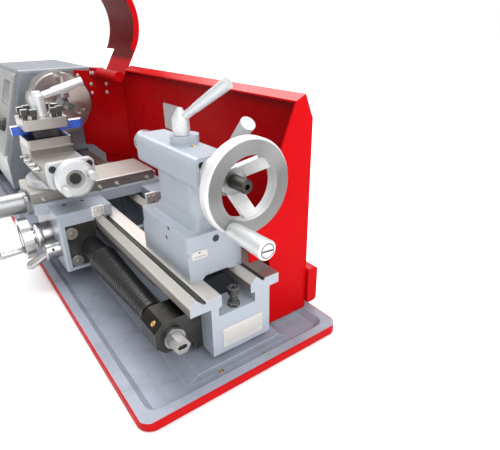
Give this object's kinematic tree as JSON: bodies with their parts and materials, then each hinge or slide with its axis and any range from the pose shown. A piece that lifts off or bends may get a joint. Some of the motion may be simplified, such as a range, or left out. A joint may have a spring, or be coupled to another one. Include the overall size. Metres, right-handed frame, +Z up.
{
  "type": "bench metal lathe",
  "caption": "Bench metal-turning lathe on a chip tray: headstock with chuck, screw-cutting carriage with compound slide and tool post, tailstock and red splash guard.",
  "frame": {"origin": "underside of the chip tray, straight below the spindle axis, 400 mm left of the bed's right end", "axes": "+X along the bed towards the tailstock, +Y to the back of the machine, +Z up; the operator stands at -Y"},
  "size_m": [0.9053, 0.3453, 0.3862],
  "materials": {
    "grey_paint": "light blue-grey machine enamel, satin",
    "red_paint": "bright red gloss enamel",
    "tray_paint": "grey enamel with a red outer edge",
    "bed_iron": "grey enamel with ground ways",
    "bare_steel": "ground or turned steel",
    "polished_steel": "bright turned steel",
    "black_steel": "black oxide",
    "tape_steel": "blackened spring tape",
    "tool_paint": "blue shank with bright top",
    "panel_plate": "satin plate with a dark window",
    "black_plastic": "matt",
    "red_plastic": "gloss",
    "green_plastic": "gloss",
    "belt_rubber": "matt",
    "motor_paint": "dark enamel"
  },
  "bodies": {
    "machine": {"chip_tray": "tray_paint", "bed": "bed_iron", "tailstock_stop": "black_steel", "rack": "bare_steel", "leadscrew_bracket": "black_steel", "leadscrew_cover": "tape_steel", "headstock": "grey_paint", "control_panel": "panel_plate", "spindle_bearings": "bare_steel", "motor": "motor_paint", "drive_belt": "belt_rubber", "splash_guard": "red_paint"},
    "spindle": {"spindle": "bare_steel", "spindle_pulley": "bare_steel", "spindle_gear": "bare_steel", "chuck_body": "bare_steel"},
    "scroll": {"chuck_scroll": "bare_steel"},
    "jaw_1": {"chuck_jaw_1": "bare_steel"},
    "jaw_2": {"chuck_jaw_2": "bare_steel"},
    "jaw_3": {"chuck_jaw_3": "bare_steel"},
    "motor_pulley": {"motor_pulley": "bare_steel"},
    "idler": {"idler_gear": "bare_steel"},
    "leadscrew": {"leadscrew": "bare_steel", "leadscrew_gear": "bare_steel"},
    "gear_cover": {"gear_cover": "grey_paint"},
    "chuck_guard": {"chuck_guard": "red_paint"},
    "speed_knob": {"speed_knob": "black_plastic"},
    "start_button": {"start_button": "green_plastic"},
    "stop_button": {"stop_button": "red_plastic"},
    "carriage": {"saddle": "grey_paint", "cross_bracket": "grey_paint", "apron": "grey_paint", "apron_cover": "black_steel"},
    "apron_wheel": {"apron_handwheel": "polished_steel", "feed_pinion": "bare_steel"},
    "apron_handle": {"apron_handle": "polished_steel"},
    "half_nut_lever": {"half_nut_lever": "polished_steel"},
    "half_nut_upper": {"half_nut_upper": "bare_steel"},
    "half_nut_lower": {"half_nut_lower": "bare_steel"},
    "cross_slide": {"cross_slide": "bare_steel"},
    "cross_wheel": {"cross_screw": "bare_steel", "cross_handwheel": "polished_steel"},
    "swivel": {"compound_swivel": "bare_steel"},
    "top_slide": {"compound_slide": "grey_paint"},
    "compound_wheel": {"compound_screw": "bare_steel", "compound_handwheel": "grey_paint"},
    "toolpost": {"toolpost": "bare_steel", "toolpost_screws": "black_steel", "cutting_tools": "tool_paint"},
    "toolpost_lever": {"toolpost_lever": "polished_steel"},
    "tailstock": {"tailstock_base": "grey_paint", "tailstock_body": "grey_paint", "tailstock_cap": "bare_steel"},
    "quill": {"quill": "bare_steel"},
    "tail_wheel": {"tailstock_screw": "black_steel", "tailstock_handwheel": "polished_steel"},
    "tail_handle": {"tailstock_handle": "polished_steel"},
    "quill_lock": {"quill_lock_lever": "polished_steel"},
    "clamp_lever": {"clamp_lever": "polished_steel"},
    "clamp_plate": {"clamp_plate": "bare_steel"}
  },
  "joints": [
    {"name": "spindle_turn", "type": "hinge", "parent": "machine", "child": "spindle", "pos_m": [-0.154, 0, 0.19], "axis": [1, 0, 0], "continuous": true},
    {"name": "scroll_turn", "type": "hinge", "parent": "spindle", "child": "scroll", "pos_m": [-0.14, 0, 0.19], "axis": [1, 0, 0], "range_deg": [-420, 840]},
    {"name": "jaw_1_slide", "type": "slide", "parent": "spindle", "child": "jaw_1", "axis": [0, 0, 1], "range_m": [-0.0071, 0.0141]},
    {"name": "jaw_2_slide", "type": "slide", "parent": "spindle", "child": "jaw_2", "axis": [0, -0.866, -0.5], "range_m": [-0.0071, 0.0141]},
    {"name": "jaw_3_slide", "type": "slide", "parent": "spindle", "child": "jaw_3", "axis": [0, 0.866, -0.5], "range_m": [-0.0071, 0.0141]},
    {"name": "motor_turn", "type": "hinge", "parent": "machine", "child": "motor_pulley", "pos_m": [-0.374, 0.062, 0.137], "axis": [1, 0, 0], "continuous": true},
    {"name": "idler_turn", "type": "hinge", "parent": "machine", "child": "idler", "pos_m": [-0.395, -0.01581, 0.11158], "axis": [1, 0, 0], "continuous": true},
    {"name": "leadscrew_turn", "type": "hinge", "parent": "machine", "child": "leadscrew", "pos_m": [0, -0.061, 0.048], "axis": [1, 0, 0], "continuous": true},
    {"name": "gear_cover_hinge", "type": "hinge", "parent": "machine", "child": "gear_cover", "pos_m": [-0.367, 0.119, 0.125], "axis": [0, 0, -1], "range_deg": [0, 100]},
    {"name": "chuck_guard_hinge", "type": "hinge", "parent": "machine", "child": "chuck_guard", "pos_m": [-0.08, 0.075, 0.233], "axis": [1, 0, 0], "range_deg": [0, 95]},
    {"name": "speed_knob_turn", "type": "hinge", "parent": "machine", "child": "speed_knob", "pos_m": [-0.227, -0.07564, 0.14497], "axis": [0, -0.9518, 0.3068], "range_deg": [0, 270]},
    {"name": "start_button_press", "type": "slide", "parent": "machine", "child": "start_button", "axis": [0, 0.9518, -0.3068], "range_m": [0, 0.002], "stiffness_N_per_m": 300},
    {"name": "stop_button_press", "type": "slide", "parent": "machine", "child": "stop_button", "axis": [0, 0.9518, -0.3068], "range_m": [0, 0.004], "stiffness_N_per_m": 300},
    {"name": "carriage_slide", "type": "slide", "parent": "machine", "child": "carriage", "axis": [1, 0, 0], "range_m": [-0.095, 0.09], "deforming": ["leadscrew_cover"]},
    {"name": "apron_wheel_turn", "type": "hinge", "parent": "carriage", "child": "apron_wheel", "pos_m": [0.103, -0.12, 0.0595], "axis": [0, -1, 0], "range_deg": [-625, 592]},
    {"name": "apron_handle_spin", "type": "hinge", "parent": "apron_wheel", "child": "apron_handle", "pos_m": [0.0941, -0.16, 0.04041], "axis": [0, -1, 0], "continuous": true},
    {"name": "half_nut_lever_turn", "type": "hinge", "parent": "carriage", "child": "half_nut_lever", "pos_m": [0.138, -0.1, 0.05], "axis": [0, -1, 0], "range_deg": [0, 30]},
    {"name": "half_nut_upper_slide", "type": "slide", "parent": "carriage", "child": "half_nut_upper", "axis": [0, 0, -1], "range_m": [0, 0.0037]},
    {"name": "half_nut_lower_slide", "type": "slide", "parent": "carriage", "child": "half_nut_lower", "axis": [0, 0, 1], "range_m": [0, 0.0037]},
    {"name": "cross_slide_travel", "type": "slide", "parent": "carriage", "child": "cross_slide", "axis": [0, 1, 0], "range_m": [0, 0.046]},
    {"name": "cross_wheel_turn", "type": "hinge", "parent": "carriage", "child": "cross_wheel", "pos_m": [0.078, -0.174, 0.099], "axis": [0, 1, 0], "range_deg": [0, 8280]},
    {"name": "compound_swivel_turn", "type": "hinge", "parent": "cross_slide", "child": "swivel", "pos_m": [0.078, -0.07, 0.124], "axis": [0, 0, 1], "range_deg": [-45, 90]},
    {"name": "compound_travel", "type": "slide", "parent": "swivel", "child": "top_slide", "axis": [-1, 0, 0], "range_m": [-0.03, 0.024]},
    {"name": "compound_wheel_turn", "type": "hinge", "parent": "top_slide", "child": "compound_wheel", "pos_m": [0.17, -0.07, 0.147], "axis": [-1, 0, 0], "range_deg": [-5400, 4320]},
    {"name": "toolpost_turn", "type": "hinge", "parent": "top_slide", "child": "toolpost", "pos_m": [0.053, -0.07, 0.18], "axis": [0, 0, 1], "continuous": true},
    {"name": "toolpost_lever_turn", "type": "hinge", "parent": "top_slide", "child": "toolpost_lever", "pos_m": [0.053, -0.07, 0.21], "axis": [0, 0, 1], "range_deg": [-60, 30]},
    {"name": "tailstock_slide", "type": "slide", "parent": "machine", "child": "tailstock", "axis": [1, 0, 0], "range_m": [-0.06, 0.01]},
    {"name": "quill_travel", "type": "slide", "parent": "tailstock", "child": "quill", "axis": [-1, 0, 0], "range_m": [0, 0.05]},
    {"name": "tail_wheel_turn", "type": "hinge", "parent": "tailstock", "child": "tail_wheel", "pos_m": [0.41, 0, 0.19], "axis": [-1, 0, 0], "range_deg": [0, 9000]},
    {"name": "tail_handle_spin", "type": "hinge", "parent": "tail_wheel", "child": "tail_handle", "pos_m": [0.44, -0.0185, 0.1595], "axis": [1, 0, 0], "continuous": true},
    {"name": "quill_lock_turn", "type": "hinge", "parent": "tailstock", "child": "quill_lock", "pos_m": [0.312, 0, 0.22], "axis": [0, 0, 1], "range_deg": [-45, 60]},
    {"name": "clamp_lever_turn", "type": "hinge", "parent": "tailstock", "child": "clamp_lever", "pos_m": [0.285, 0.03, 0.146], "axis": [0, 1, 0], "range_deg": [-60, 20]},
    {"name": "clamp_plate_lift", "type": "slide", "parent": "tailstock", "child": "clamp_plate", "axis": [0, 0, 1], "range_m": [-0.0004, 0.0008]}
  ],
  "couplings": [
    {"joint": "jaw_1_slide", "follows": "scroll_turn", "m_per_rad": 0.00095493},
    {"joint": "jaw_2_slide", "follows": "scroll_turn", "m_per_rad": 0.00095493},
    {"joint": "jaw_3_slide", "follows": "scroll_turn", "m_per_rad": 0.00095493},
    {"joint": "motor_turn", "follows": "spindle_turn", "ratio": 2},
    {"joint": "idler_turn", "follows": "spindle_turn", "ratio": -0.53846},
    {"joint": "leadscrew_turn", "follows": "spindle_turn", "ratio": 1.0769},
    {"joint": "apron_wheel_turn", "follows": "carriage_slide", "rad_per_m": 114.29},
    {"joint": "half_nut_upper_slide", "follows": "half_nut_lever_turn", "m_per_rad": 0.00706},
    {"joint": "half_nut_lower_slide", "follows": "half_nut_lever_turn", "m_per_rad": 0.00706},
    {"joint": "cross_wheel_turn", "follows": "cross_slide_travel", "rad_per_m": 3141.6},
    {"joint": "compound_wheel_turn", "follows": "compound_travel", "rad_per_m": 3141.6},
    {"joint": "tail_wheel_turn", "follows": "quill_travel", "rad_per_m": 3141.6},
    {"joint": "clamp_plate_lift", "follows": "clamp_lever_turn", "m_per_rad": -0.00067}
  ]
}
